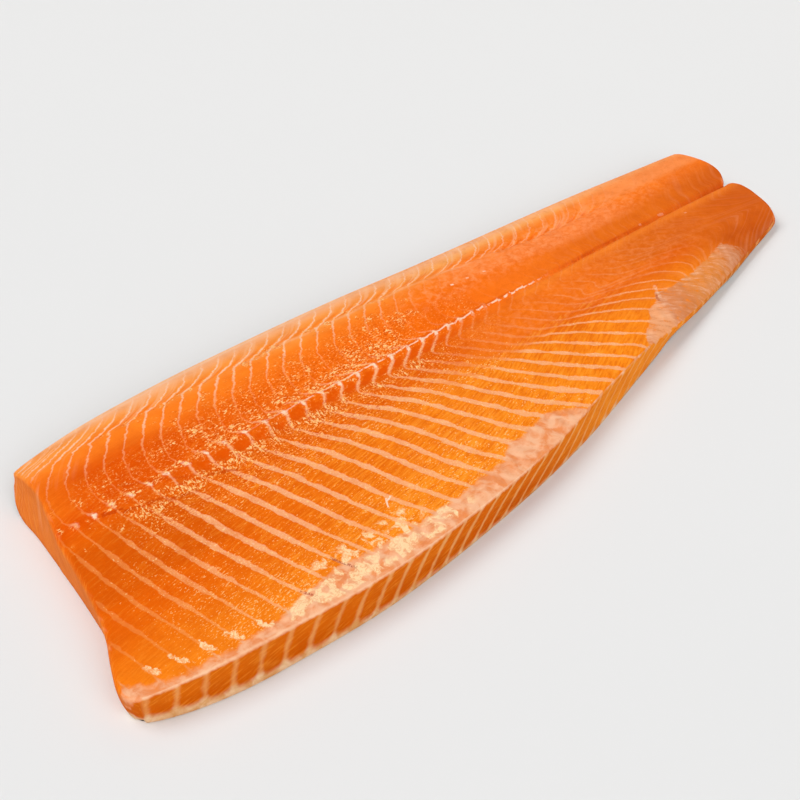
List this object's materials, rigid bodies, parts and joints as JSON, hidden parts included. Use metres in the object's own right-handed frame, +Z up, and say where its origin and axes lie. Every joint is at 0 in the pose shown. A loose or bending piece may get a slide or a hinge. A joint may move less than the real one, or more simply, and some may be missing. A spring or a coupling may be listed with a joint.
{
  "type": "salmon trout side",
  "caption": "Raw side of salmon trout with its skin on, trimmed, lying flesh side up, with a slanted head end and a notched tail end.",
  "frame": {"origin": "middle of the footprint, on the surface it lies on", "axes": "+X from the head end to the tail end, +Y from the belly to the back, +Z up from the skin to the flesh"},
  "size_m": [0.4388, 0.152, 0.025],
  "materials": {
    "flesh": "wet, glossy, orange with pale marbling",
    "skin": "wet silvery fish skin with small scales"
  },
  "bodies": {
    "root": {"fillet": "flesh"}
  },
  "joints": []
}
